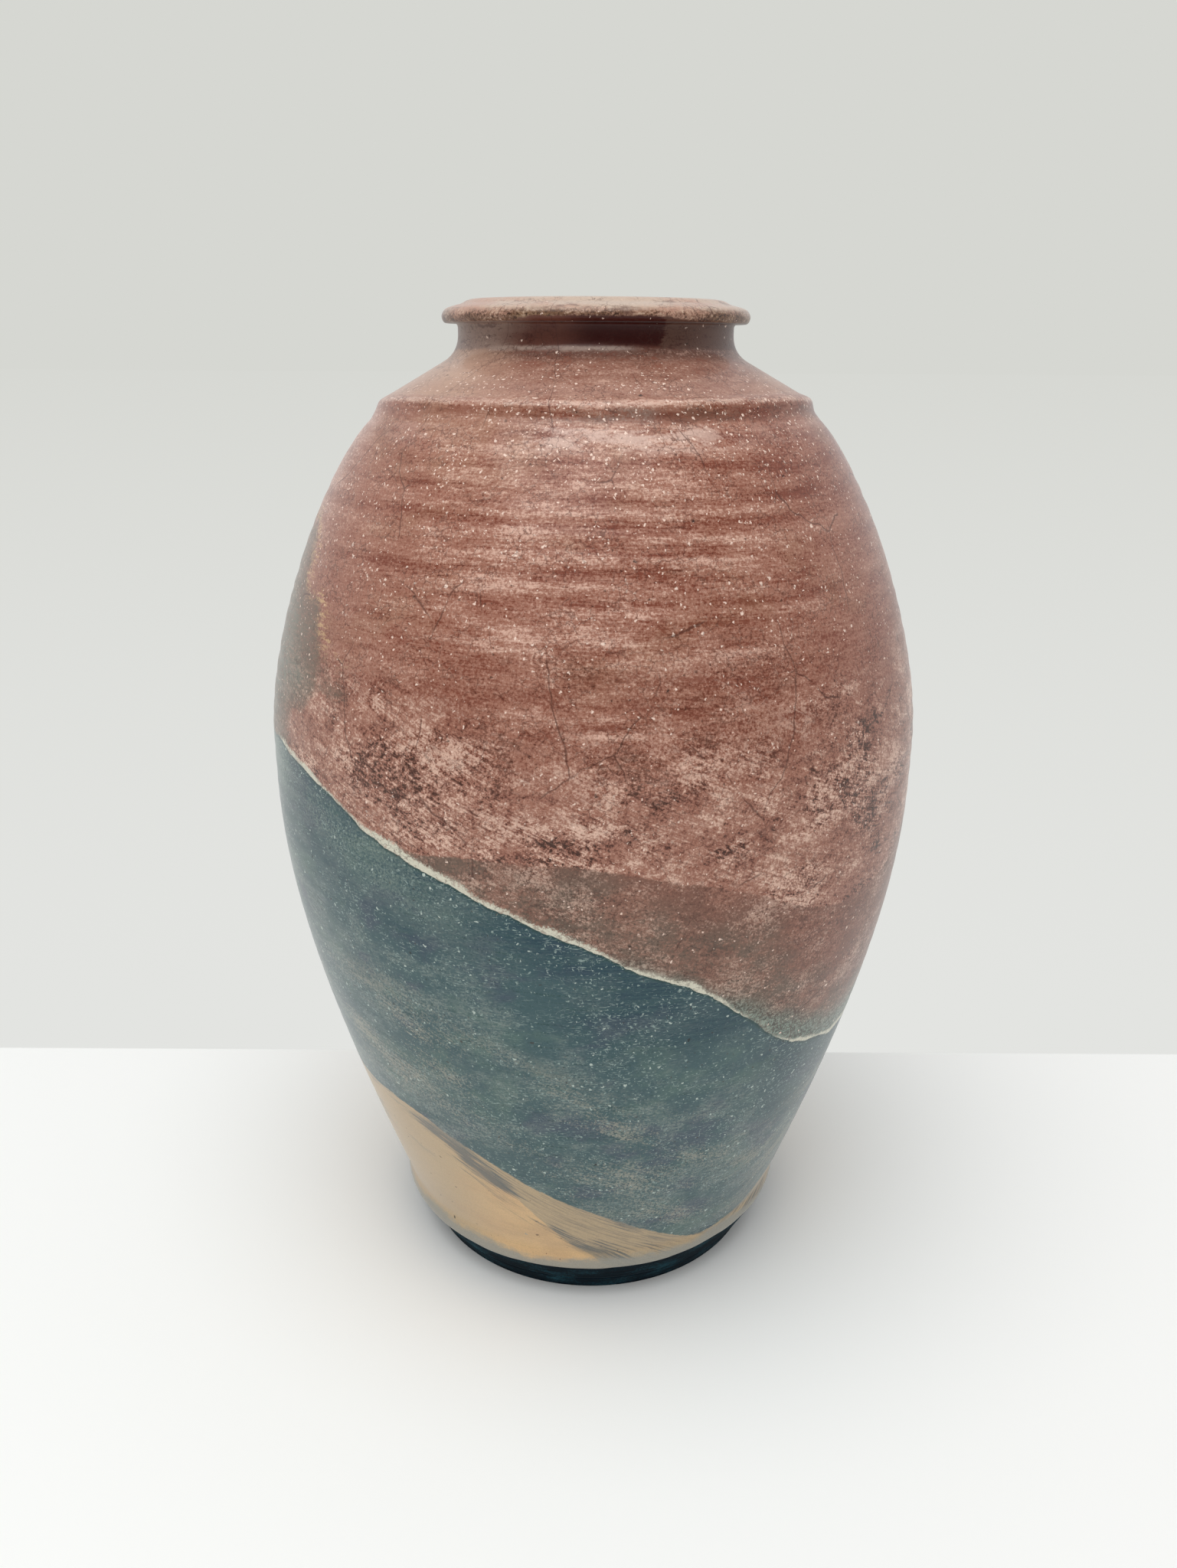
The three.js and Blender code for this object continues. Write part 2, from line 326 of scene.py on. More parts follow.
def glazeCoat():
    # a closed shell, from the bead over the lip and a little way into the mouth
    shape = potShape
    edge, waist, outer = shape["glazeEdge"], point(*shape["waist"]), shape["waist"][0]
    pulls = [point(outer + across, edge + up) for across, up in shape["bead"]]
    bead = interpolate_bezier(*pulls, lineSteps["bead"] + 1)
    outside = joined(bead, straight(bead[-1], waist, 4), outsideLine())
    mouth = between(insideLine(60, 8), shape["glazeEnd"], shape["crest"][1])
    seen = joined(outside, mouth)
    flank = straight(point(outer, edge + shape["coatBack"]), waist, 2)
    back = setIn(joined(flank, outsideLine(coarse), mouth), shape["glaze"])[::-1]
    # the side that is seen takes up nearly all of the bake's map
    seenShare = 0.965
    lengths = [0.0]
    for before, after in zip(seen, seen[1:]):
        lengths.append(lengths[-1] + (after - before).length)
    shares = [seenShare * length / lengths[-1] for length in lengths]
    shares += [seenShare + (1 - seenShare) * (i + 1) / (len(back) + 1) for i in range(len(back))]
    bm = spun("glaze coat", seen + back, turnSteps["glaze"], True, shares)
    pressRings(bm, seenShare)
    shapeEdges(bm, seenShare)
    tiltRidge(bm)
    waveEdge(bm)
    wrapMap(bm)
    return keep(bm, "glaze_coat", ["outer_glaze"])


def liningCoat():
    # a closed shell, from the outer glaze's end in the mouth down to the floor
    shape = potShape
    face = between(insideLine(40, 6), 0, shape["glazeEnd"] - shape["clearance"])
    back = setIn(face, shape["glaze"])
    back[-1].x = 0
    bm = spun("lining coat", back[::-1] + face, turnSteps["lining"], False)
    return keep(bm, "lining_coat", ["lining_glaze"])


def lowerClay():
    # the lower section: bare flank and recess outside, the wall up to the joint under the belly
    shape = potShape
    depth = shape["glaze"] + shape["clearance"]
    ringTop, flankTop = bareFlank()[1:]
    outside = between(setIn(outsideLine(coarse), depth), shape["waist"][1], shape["bellyJoint"])
    inside = between(setIn(insideLine(20, 3), depth), 0, shape["bellyJoint"])
    inside[-1].x = 0
    profile = joined(
        straight(point(0, shape["recess"]), ringTop, 8), straight(ringTop, flankTop, 12), outside, inside)
    bm = spun("lower clay", profile, turnSteps["clay"], False)
    return keep(bm, "lower_clay", ["lower_body"])


# The standing ring's worn edges, in millimetres
ringWear = {"outer": 0.7, "inner": 0.9, "corner": 0.1, "steps": 4}


def standingRing():
    # a closed ring with worn edges, up to the level of the recess
    shape, wear = potShape, ringWear
    foot, recess = shape["footRadius"], shape["recess"]
    inner = foot - shape["ringWidth"]
    innerTop, innerFoot = point(inner, recess), point(inner, 0)
    flankFoot, ringTop = bareFlank()[:2]
    outerWear = eased(innerFoot, point(foot - wear["corner"], 0), flankFoot, wear["outer"], wear["steps"])
    innerWear = eased(innerTop, innerFoot, point(foot, 0), wear["inner"], wear["steps"])
    profile = joined(
        innerWear, straight(innerWear[-1], outerWear[0], 5), outerWear,
        straight(flankFoot, ringTop, 6), straight(ringTop, innerTop, 6))
    bm = spun("standing ring", profile, turnSteps["clay"], True)
    return keep(bm, "standing_ring", ["foot_ring"])


glazeCoatPiece = glazeCoat()
liningPiece = liningCoat()
lowerClayPiece = lowerClay()
ringPiece = standingRing()


def shade(red, green, blue):
    # a screen colour from 0 to 255 as the light values that the shader takes
    def light(value):
        value /= 255
        return value / 12.92 if value <= 0.04045 else ((value + 0.055) / 1.055) ** 2.4
    return (light(red), light(green), light(blue), 1)


class Wire:
    # an output socket that takes part in maths
    def __init__(self, finish, socket):
        self.finish = finish
        self.socket = socket

    def maths(self, operation, first, second):
        return self.finish.add("ShaderNodeMath", {"operation": operation}, {0: first, 1: second})

    def __add__(self, other):
        return self.maths("ADD", self, other)

    def __radd__(self, other):
        return self.maths("ADD", other, self)

    def __sub__(self, other):
        return self.maths("SUBTRACT", self, other)

    def __rsub__(self, other):
        return self.maths("SUBTRACT", other, self)

    def __mul__(self, other):
        return self.maths("MULTIPLY", self, other)

    def __rmul__(self, other):
        return self.maths("MULTIPLY", other, self)

    def __truediv__(self, other):
        return self.maths("DIVIDE", self, other)

    def __rtruediv__(self, other):
        return self.maths("DIVIDE", other, self)


class Finish:
    # a material, or a world, and its nodes
    def __init__(self, name, world=None):
        self.material = world or bpy.data.materials.new(name)
        self.material.use_nodes = True
        self.tree = self.material.node_tree
        self.tree.nodes.clear()
        self.place = self.add("ShaderNodeTexCoord", output="Object")

    def add(self, kind, settings=None, values=None, output=0):
        node = self.tree.nodes.new(kind)
        for name, value in (settings or {}).items():
            setattr(node, name, value)
        for name, value in (values or {}).items():
            if isinstance(value, Wire):
                self.tree.links.new(value.socket, node.inputs[name])
            else:
                node.inputs[name].default_value = value
        return Wire(self, node.outputs[output])

    def grain(self, size, detail=3, rough=0.55, shift=0, warp=0, turn=(0, 0, 0)):
        # noise whose grains are so many millimetres long along x, y and z, and then turned
        spot = self.add("ShaderNodeMapping", {"vector_type": "TEXTURE"}, {
            "Vector": self.place, "Location": (shift * 0.01, shift * 0.007, shift * 0.013),
            "Rotation": turn, "Scale": [length * mm for length in size]})
        return self.add("ShaderNodeTexNoise", None, {
            "Vector": spot, "Scale": 1, "Detail": detail, "Roughness": rough, "Distortion": warp})

    def cells(self, size, feature="F1", shift=0, place=None):
        # how far off the nearest cell, or cell wall, is
        spot = self.add("ShaderNodeMapping", None, {
            "Vector": place or self.place, "Location": (shift, shift * 0.7, shift * 1.3),
            "Scale": [1 / (length * mm) for length in size]})
        values = {"Vector": spot, "Scale": 1}
        return self.add("ShaderNodeTexVoronoi", {"feature": feature}, values, "Distance")

    def twin(self, wire, output):
        # another output of the same node
        return Wire(self, wire.socket.node.outputs[output])

    def ramp(self, value, low, high, start=0, end=1):
        # a soft rise, or fall where low is above high, from start to end
        return self.add("ShaderNodeMapRange", {"interpolation_type": "SMOOTHSTEP"}, {
            "Value": value, "From Min": low, "From Max": high, "To Min": start, "To Max": end})

    def blend(self, under, over, mask):
        # one colour over another, as far as the mask says
        return self.add("ShaderNodeMix", {"data_type": "RGBA", "clamp_factor": True}, {
            0: mask, 6: under, 7: over}, 2)

    def larger(self, first, second):
        return self.add("ShaderNodeMath", {"operation": "MAXIMUM"}, {0: first, 1: second})

    def apart(self, first, second):
        # how far two values are from each other
        return self.add("ShaderNodeMath", {"operation": "ABSOLUTE"}, {0: first - second})

    def veins(self, value, width):
        # thin lines where a noise passes its middle
        return self.ramp(self.apart(value, 0.5), 0, width, 1, 0)

    def ray(self, kind):
        # one for this kind of ray, nought for others
        return self.add("ShaderNodeLightPath", output=kind)

    def surface(self, shader, kind="ShaderNodeOutputMaterial"):
        output = self.tree.nodes.new(kind)
        self.tree.links.new(shader.socket, output.inputs["Surface"])
        return self.material

    def close(self, **inputs):
        names = {name.replace("_", " "): value for name, value in inputs.items()}
        return self.surface(self.add("ShaderNodeBsdfPrincipled", None, names))


# Levels and widths of the coats in millimetres, and how lively the rose is, each as one base and
# then waves of (count round the pot, height, turn)
coatLines = {
    "roseEnd": (142, [(1, 46, 3.3), (2, 9, 2.2), (5, 2.5, 0.4)]),
    "overlap": (40, [(1, 46, -0.5), (3, 5, 1.9)]),
    "bloomTop": (5, [(1, 17, -0.5), (4, 2, 1.0)]),
    "tanEnd": (58, [(1, 30, 3.7), (3, 9, 3.2), (7, 1.5, 0.2)]),
    "sandWidth": (12, [(2, 14, 0.4), (5, 4, 2.0)]),
    "smokeMiddle": (196, [(1, 10, 2.2), (3, 4, 0.6)]),
    "smokeReach": (-22, [(1, 30, 3.07), (2, 32, 4.57)]),
    "lively": (0.66, [(3, 0.27, 1.4)]),
}

# The colours of the fired glazes, as a screen shows them
glazeShades = {
    # the rose coat and its curdled lower half
    "brick": shade(121, 63, 46), "rose": shade(157, 108, 90), "pink": shade(209, 170, 152),
    "maroon": shade(84, 34, 15), "ochre": shade(161, 132, 101), "frost": shade(203, 172, 158),
    "pepper": shade(54, 32, 22), "russet": shade(121, 74, 61), "buff": shade(222, 187, 168),
    # rose over teal, and the smoke's cloud
    "mauve": shade(121, 82, 68), "mauveGrey": shade(104, 88, 76),
    "smoke": shade(110, 94, 80), "smokeCore": shade(108, 112, 100),
    # the teal coat
    "navy": shade(0, 48, 66), "slate": shade(56, 85, 90), "moss": shade(76, 103, 98),
    "plum": shade(60, 74, 90), "mist": shade(124, 136, 131),
    "bloom": shade(137, 153, 141), "bloomPit": shade(18, 57, 54),
    # the slip at the foot, its brushing, the pale line and the bead
    "tan": shade(212, 177, 131), "tanLow": shade(198, 164, 124), "sand": shade(175, 156, 127),
    "stroke": shade(82, 91, 94), "fleck": shade(155, 152, 138), "line": shade(212, 208, 190),
    "bead": shade(151, 149, 140), "hole": shade(32, 26, 24), "crack": shade(72, 38, 29),
    "speckCream": shade(238, 212, 196), "speckSoft": shade(140, 158, 153), "speckWhite": shade(186, 198, 190),
    # the cove, the ridge, the shoulder, the neck and the lip
    # the cove's dark shades stand partly for painted shade
    # the ridge's pale is partly a painted highlight
    "coveDark": shade(107, 69, 55), "coveGrey": shade(135, 111, 100), "ridgePaleAndHighlight": shade(199, 166, 149),
    "shoulderLow": shade(162, 123, 106), "shoulder": shade(138, 96, 80),
    # the shoulder's pale is a painted sheen
    "shoulderPaintedSheen": shade(183, 149, 127), "shoulderTop": shade(105, 73, 62),
    "neckDark": shade(60, 5, 0), "neckMid": shade(99, 55, 43), "neckRight": shade(98, 67, 55),
    # the neck's pale band is a painted sheen
    "neckGrey": shade(142, 116, 103), "neckPaintedSheen": shade(158, 134, 121),
    "lip": shade(190, 168, 150), "lipRed": shade(180, 138, 119),
    "lipEdge": shade(116, 83, 61), "lipBreak": shade(194, 168, 146),
}


class Coats(Finish):
    # the glaze's own measures: x, y and z in millimetres, the turn round the pot, and the groove's
    # depth and the unbent height, which the mesh carries
    def __init__(self, name):
        super().__init__(name)
        self.x, self.y, self.z = [
            self.add("ShaderNodeSeparateXYZ", None, {0: self.place}, axis) * (1 / mm) for axis in "XYZ"]
        self.turn = self.add("ShaderNodeMath", {"operation": "ARCTAN2"}, {0: self.x, 1: self.y * -1})
        self.groove = self.add("ShaderNodeAttribute", {"attribute_name": "groove"}, output="Fac")
        self.level = self.add("ShaderNodeAttribute", {"attribute_name": "level"}, output="Fac")
        self.grit = self.grain((0.7, 0.7, 0.7), 3, 0.75)
        self.patch = self.grain((42, 42, 30), 2, shift=8)
        self.wander = self.grain((30, 30, 30), 3, 0.5, shift=14) - 0.5
        self.ragged = self.grain((1.8, 1.8, 1.8), 3, 0.65, shift=17) - 0.5
        self.hatch = self.grain((4, 4, 0.7), 3, 0.7, shift=37)
        # the place, shaken by a fine noise, so that specks and crazing come out ragged
        values = {"Vector": self.place, "Scale": 1100, "Detail": 1}
        shake = self.add("ShaderNodeTexNoise", None, values, "Color")
        self.shaken = self.add("ShaderNodeVectorMath", {"operation": "MULTIPLY_ADD"}, {
            0: shake, 1: (0.0014, 0.0014, 0.0014), 2: self.place})
        # where the coats end, and how far above the rose's end a place is
        roseLine, fray = self.wavy("roseEnd"), self.ragged * 1.2
        self.roseEnd = roseLine + self.wander * 9 + fray
        self.tealEnd = roseLine + self.larger(self.wavy("overlap"), 0.5) + self.wander * 7 + fray
        self.tanEnd = self.wavy("tanEnd") + self.wander * 6 + fray
        self.over = self.z - self.roseEnd

    def wavy(self, name):
        # a level that rises and falls round the pot
        total, waves = coatLines[name]
        for count, height, shift in waves:
            swing = self.add("ShaderNodeMath", {"operation": "SINE"}, {0: self.turn * count + shift})
            total = total + swing * height
        return total

    def above(self, level, soft):
        return self.ramp(self.z - level, -soft / 2, soft / 2)

    def under(self, level, soft):
        return 1 - self.above(level, soft)

    def band(self, low, high, soft):
        return self.above(low, soft) * self.under(high, soft)

    def bristles(self, level, length, pitch, detail=3, rough=0.6):
        # streaks that run along a coat's end, whatever way it goes
        around = self.add("ShaderNodeCombineXYZ", None, {
            0: self.x * (1 / length), 1: self.y * (1 / length), 2: (self.z - level) * (1 / pitch)})
        return self.add("ShaderNodeTexNoise", None, {
            "Vector": around, "Scale": 1, "Detail": detail, "Roughness": rough})

    def specks(self, spacing, radius, share, shift):
        # small ragged marks, in some of the cells only
        near = self.cells((spacing,) * 3, shift=shift, place=self.shaken)
        own = self.twin(near, "Color")
        pick, size = [self.add("ShaderNodeSeparateXYZ", None, {0: own}, axis) for axis in "XY"]
        reach = (size * 0.8 + 0.2) * (radius / spacing)
        return self.ramp(near - reach, -0.04, 0.04, 1, 0) * self.ramp(pick - share, 0, 0.01, 1, 0)


def roseGround(f):
    # brick, rose and pink in streaks, paler between the wheel's grooves, and granular
    c = glazeShades
    sway = (f.grain((100, 100, 100), 2, shift=3) - 0.5) * 9
    streak = f.bristles(sway, 20, 1.5, 5, 0.7)
    sheet = f.bristles(sway, 34, 6, 4, 0.65)
    cloud = f.grain((15, 15, 6), 3, 0.6, shift=18)
    hatch = f.grain((3.2, 3.2, 0.45), 3, 0.7, shift=13)
    crest = (1 - f.groove) * f.ramp(f.z, 195, 240, 0.08, 0.3)
    bands = streak * 0.8 + sheet * 0.7 + cloud * 0.6 + f.patch * 0.4 + crest
    lively = f.wavy("lively")
    # painted sheen: the left flank's rose is painted paler; the right flank is a little less pink, as is the
    # rose from 250 mm up
    flankSheenAndTone = f.ramp(f.turn, -0.9, -1.3, 0, 0.1) - f.ramp(f.turn, 0.3, 0.9, 0, 0.07)
    flankSheenAndTone = flankSheenAndTone - f.ramp(f.z, 250, 258, 0, 0.03)
    grains = (f.grit * 1.1 + hatch * 0.7 - 0.9) * (lively * 0.6 + 0.45)
    pinkness = 2.25 + flankSheenAndTone + (bands - 1.35) * lively + grains
    ground = f.blend(c["brick"], c["rose"], f.ramp(pinkness, 2.08, 2.31))
    ground = f.blend(ground, c["pink"], f.ramp(pinkness, 2.31, 2.62))
    line = f.bristles(sway, 12, 0.8, 5, 0.7)
    scored = f.ramp(line * 0.7 + f.grit * 0.3 - f.groove * 0.05, 0.41, 0.33, 0, 0.75)
    ground = f.blend(ground, c["maroon"], scored * (lively * 0.8 + 0.25))
    ochre = f.ramp(f.grain((30, 30, 20), 3, shift=57) * 0.8 + f.grit * 0.2, 0.52, 0.70, 0, 0.22)
    ground = f.blend(ground, c["ochre"], ochre * f.ramp(f.z, 180, 240))
    frost = f.grain((16, 16, 3.5), 4, 0.65, shift=33) * 0.8 + f.grit * 0.2
    frost = f.ramp(frost, 0.45, 0.58, 0, 0.85) * f.ramp(f.level, 261.5, 264.5) * f.ramp(f.level, 268.9, 267.6)
    return f.blend(ground, c["frost"], frost * f.ramp(f.apart(f.x, 4), 36, 18, 0.2, 1))


def mottledRose(f):
    # lower down the same coat curdles: pale veins round dark pepper, combed by the brush
    c = glazeShades
    curd = f.grain((3, 3, 2.2), 4, 0.75, shift=5, warp=0.6)
    cloud = f.grain((18, 18, 11), 3, 0.6, shift=2)
    comb = f.grain((7, 7, 0.6), 3, 0.7, shift=4, turn=(0, 0.45, 0))
    calm = f.ramp(f.grain((26, 26, 18), 2, shift=45), 0.46, 0.60, 0.5, 1)
    tone = 2.03 + (curd * 1.1 + cloud * 1.0 + comb * 0.8 + f.grit * 1.2 - 2.03) * calm
    ground = f.blend(c["pepper"], c["russet"], f.ramp(tone, 1.84, 1.93))
    ground = f.blend(ground, c["rose"], f.ramp(tone, 1.92, 2.02))
    ground = f.blend(ground, c["buff"], f.ramp(tone, 2.04, 2.24))
    return f.blend(ground, c["buff"], f.veins(curd, 0.03) * f.ramp(cloud, 0.4, 0.6, 0.2, 0.7) * calm)


def tealGround(f, depth):
    # slate, moss and plum, navy near the coat's upper end and misty lower down
    c = glazeShades
    drift = f.grain((46, 46, 34), 3, 0.55, shift=11)
    tint = f.grain((22, 22, 13), 3, 0.6, shift=21)
    brushed = f.bristles(0, 18, 0.8, 4, 0.7)
    ground = f.blend(c["slate"], c["moss"], f.ramp(tint, 0.52, 0.68, 0, 0.8))
    ground = f.blend(ground, c["plum"], f.ramp(tint, 0.47, 0.34, 0, 0.8))
    deep = f.ramp(depth + (drift - 0.5) * 110, 34, 2)
    navyShare = deep * f.ramp(brushed * 0.5 + f.grit * 0.4 + drift * 0.3, 0.50, 0.70, 0.15, 0.9)
    ground = f.blend(ground, c["navy"], navyShare)
    misty = f.ramp(f.grain((17, 17, 12), 3, 0.6, shift=27), 0.44, 0.62, 0.1, 1)
    misty = misty * f.ramp(depth, 8, 44, 0.3, 1.15)
    scratch = f.grain((2.6, 2.6, 0.5), 3, 0.7, shift=23)
    veil = f.ramp(scratch * 0.5 + f.grit * 0.5, 0.45, 0.59, 0.14, 0.72) * misty
    ground = f.blend(ground, c["mist"], veil)
    return f.blend(ground, c["bloomPit"], f.ramp(brushed * 0.6 + f.grit * 0.4, 0.46, 0.36, 0, 0.6))


def tanGround(f):
    # warm tan slip, greyer on the left and turned by the wheel
    c = glazeShades
    cloud = f.grain((22, 22, 14), 3, 0.6, shift=31)
    turned = f.bristles(0, 60, 1.4, 3, 0.6)
    ground = f.blend(c["tan"], c["tanLow"], f.ramp(cloud * 0.7 + turned * 0.3, 0.44, 0.66))
    ground = f.blend(ground, c["sand"], f.ramp(f.x + (cloud - 0.5) * 20, -22, -48, 0, 0.7))
    return f.blend(ground, c["ochre"], f.ramp(turned * 0.6 + f.grit * 0.4, 0.44, 0.34, 0, 0.3))


# The net that the long cracks follow, in millimetres; the bend is in cells and the seam in radians
crackNet = {"radius": 80, "wide": 25, "tall": 44, "bend": 0.3, "bendScale": 55, "seam": (2.9, 3.05)}


def crackLines(f):
    # long thin smoked cracks, from a net of upright cells that is left out at its seam at the back
    cell = crackNet
    values = {"Vector": f.place, "Scale": cell["bendScale"], "Detail": 4}
    bend = f.add("ShaderNodeTexNoise", None, values, "Color")
    bend = f.add("ShaderNodeVectorMath", {"operation": "SCALE"}, {0: bend, "Scale": cell["bend"]})
    across = f.turn * (cell["radius"] / cell["wide"])
    net = f.add("ShaderNodeCombineXYZ", None, {0: across, 1: f.z * (1 / cell["tall"])})
    net = f.add("ShaderNodeVectorMath", {"operation": "ADD"}, {0: net, 1: bend})
    edge = f.add("ShaderNodeTexVoronoi", {"feature": "DISTANCE_TO_EDGE", "voronoi_dimensions": "2D"}, {
        "Vector": net, "Scale": 1})
    shown = f.ramp(f.grain((16, 16, 34), 2, shift=101), 0.48, 0.56)
    shown = shown * f.ramp(f.apart(f.turn, 0), *cell["seam"], 1, 0)
    return f.ramp(edge, 0.002, 0.009, 1, 0) * shown


# Between which levels each band of the rim's paint sets in or ends, in millimetres
rimLevels = {
    "coveFoot": (268.2, 269.8), "coveTop": (273.1, 271.8),
    "ridgeFoot": (272.5, 273.1), "ridgeTop": (274.2, 273.5),
    "shoulder": (273.4, 275), "shoulderFull": (276, 280), "shoulderTone": (276, 280.5),
    "shoulderTop": (282.4, 285.4), "neck": (286.2, 287), "neckDeep": (286.6, 288.4),
    "paintedSheenFoot": (285.6, 286.6), "paintedSheenTop": (287.8, 286.8),
    "lip": (293.5, 294.1), "lipTop": (295.8, 297.2),
}


def paintRim(f, colour):
    # the cove, the ridge, the shoulder, the neck and the lip
    c, bands = glazeShades, rimLevels
    tone = f.grain((30, 30, 8), 3, 0.6, shift=51)
    blot = f.grain((6, 6, 1.6), 3, 0.7, shift=53)
    level = f.level + f.ragged * 0.8
    # the cove under the ridge's edge gets a dark patchy band: partly the glaze's own colour, partly painted
    # shade under the edge
    coveShade = f.blend(c["coveDark"], c["coveGrey"], f.ramp(tone * 0.7 + f.grit * 0.3, 0.48, 0.6))
    across = f.x + (tone - 0.5) * 20
    middle = f.ramp(f.apart(across, 1), 21, 13)
    right = f.ramp(across, 12, 26)
    coveShade = f.blend(f.blend(c["brick"], coveShade, middle), c["coveDark"], right)
    cove = f.ramp(level, *bands["coveFoot"]) * f.ramp(level, *bands["coveTop"])
    cove = cove * f.ramp(tone * 0.5 + blot * 0.4 + f.grit * 0.3, 0.50, 0.70, 0.1, 0.95)
    cove = cove * (f.larger(middle, right) * 0.55 + 0.4)
    colour = f.blend(colour, coveShade, cove)
    blotted = f.level + (blot - 0.5) * 3
    shoulder = f.blend(c["shoulderLow"], c["shoulder"], f.ramp(f.level, *bands["shoulderTone"]))
    shoulder = f.blend(shoulder, c["shoulderTop"], f.ramp(blotted, *bands["shoulderTop"]))
    grainy = blot * 0.5 + f.grit * 0.6
    shoulder = f.blend(shoulder, c["pink"], f.ramp(grainy, 0.54, 0.72, 0, 0.5))
    shoulder = f.blend(shoulder, c["brick"], f.ramp(grainy, 0.54, 0.42, 0, 0.6))
    # the shoulder's flanks, most of all the left one, are painted paler as a painted sheen
    across = f.x + (tone - 0.5) * 26
    flank = f.larger(f.ramp(across, -16, -40, 0, 0.95), f.ramp(across, 34, 52, 0, 0.6))
    shoulder = f.blend(shoulder, c["shoulderPaintedSheen"], flank)
    shoulderShare = f.ramp(level, *bands["shoulder"]) * f.ramp(f.level, *bands["shoulderFull"], 0.7, 0.92)
    colour = f.blend(colour, shoulder, shoulderShare)
    # the ridge's edge: pale glaze with specks, and in part a painted highlight along the edge
    pale = f.ramp(level, *bands["ridgeFoot"]) * f.ramp(level, *bands["ridgeTop"])
    colour = f.blend(colour, c["ridgePaleAndHighlight"], pale * f.ramp(f.grit * 0.9 + blot * 0.6, 0.62, 0.86, 0.1, 0.85))

    side = f.x + (blot - 0.5) * 6
    neck = f.blend(c["neckGrey"], c["neckMid"], f.ramp(side + (tone - 0.5) * 14, -27, -17))
    neck = f.blend(neck, c["neckRight"], f.ramp(side, 16, 18))
    neck = f.blend(neck, c["neckDark"], f.ramp(blot * 0.7 + f.grit * 0.3, 0.46, 0.38, 0, 0.5))
    deep = f.ramp(side + (tone - 0.5) * 12, -12, -1) * f.ramp(side, 18.2, 16.8)
    # the deep patch is in front only, and not inside the mouth
    deep = deep * f.ramp(blotted, *bands["neckDeep"]) * f.ramp(f.y, 4, -4)
    neck = f.blend(neck, c["neckDark"], deep)
    torn = f.level + f.ragged * 2
    colour = f.blend(colour, neck, f.ramp(torn, *bands["neck"]) * 0.97)
    # a painted sheen: a pale band at the neck's foot, left of the middle, stands in for the glaze's
    # reflection there
    sheen = f.ramp(level, *bands["paintedSheenFoot"]) * f.ramp(level, *bands["paintedSheenTop"])
    sheen = sheen * f.ramp(side, -32, -26) * f.ramp(side, 14, 4)
    colour = f.blend(colour, c["neckPaintedSheen"], sheen * f.ramp(blot, 0.4, 0.55, 0.45, 1))

    lip = f.blend(c["lipEdge"], c["lip"], f.ramp(torn, *bands["lipTop"]))
    lip = f.blend(lip, c["lipRed"], f.ramp(tone * 0.8 + f.grit * 0.3, 0.50, 0.66, 0, 0.8))
    lip = f.blend(lip, c["ochre"], f.ramp(tone, 0.42, 0.3) * f.under(296, 2) * 0.8)
    broken = f.ramp(f.grit * 0.6 + blot * 0.6, 0.60, 0.78, 0, 0.85)
    lip = f.blend(lip, c["lipBreak"], broken * f.under(297, 1.4))
    peppered = f.ramp(f.grit * 0.6 + blot * 0.4, 0.50, 0.41, 0, 0.9)
    lip = f.blend(lip, c["pepper"], peppered * f.under(296.4, 1.4))
    lip = f.blend(lip, c["shoulderTop"], f.ramp(f.grain((9, 9, 2), 4, 0.7, shift=59), 0.42, 0.33, 0, 0.6))
    # near x = 0, front and back, the neck's dark colour climbs over the lip's lower edge: partly dark glaze,
    # partly painted shade under the lip
    darkGlazeAndShade = f.ramp(f.apart(f.x, 1), 26, 16, 0, 1.3)
    return f.blend(colour, lip, f.ramp(f.level + f.ragged * 1.2 - darkGlazeAndShade, *bands["lip"]))


def paintSmoke(f, rose):
    # a grey cloud that the smoke left on one flank, ochre here and there at its rim
    c = glazeShades
    offMiddle = f.apart(f.z, f.wavy("smokeMiddle"))
    inSmoke = f.wavy("smokeReach") - offMiddle + f.wander * 60 + f.ragged * 5 + (f.hatch - 0.5) * 14
    smokeShade = f.blend(c["smoke"], c["smokeCore"], f.ramp(inSmoke, 4, 22))
    smoke = f.ramp(inSmoke, -2, 5) * f.ramp(f.hatch * 0.6 + f.grit * 0.5, 0.46, 0.68, 0.95, 0.5)
    rose = f.blend(rose, smokeShade, smoke)
    rim = f.ramp(inSmoke, -5, 0) * f.ramp(inSmoke, 8, 2) * f.ramp(f.z - f.wavy("smokeMiddle"), 4, 16)
    return f.blend(rose, c["tan"], rim * f.ramp(f.hatch * 0.7 + f.grit * 0.3, 0.48, 0.6, 0, 0.7))


def overlapGround(f, rose):
    # rose over teal: mauve brown above, grey and then granular green towards the rose's end
    c = glazeShades
    grains = f.grit * 0.9 + f.hatch * 0.4
    cloud = f.grain((14, 14, 9), 3, 0.6, shift=39)
    overlapShade = f.blend(c["mauveGrey"], c["mauve"], f.ramp(f.over + (f.patch - 0.5) * 60, 8, 34))
    overlap = f.blend(rose, overlapShade, f.ramp(grains + (cloud - 0.5) * 0.9, 0.50, 0.80, 0.95, 0.4))
    overlap = f.blend(overlap, c["pepper"], f.ramp(grains, 0.57, 0.46, 0, 0.6))
    bloomShade = f.blend(c["bloomPit"], c["bloom"], f.ramp(grains, 0.54, 0.76))
    bloomShare = f.ramp(f.over + f.wander * 12 - f.wavy("bloomTop"), 5, -5)
    return f.blend(overlap, bloomShade, bloomShare * f.ramp(f.grit, 0.36, 0.56, 0.45, 0.95))


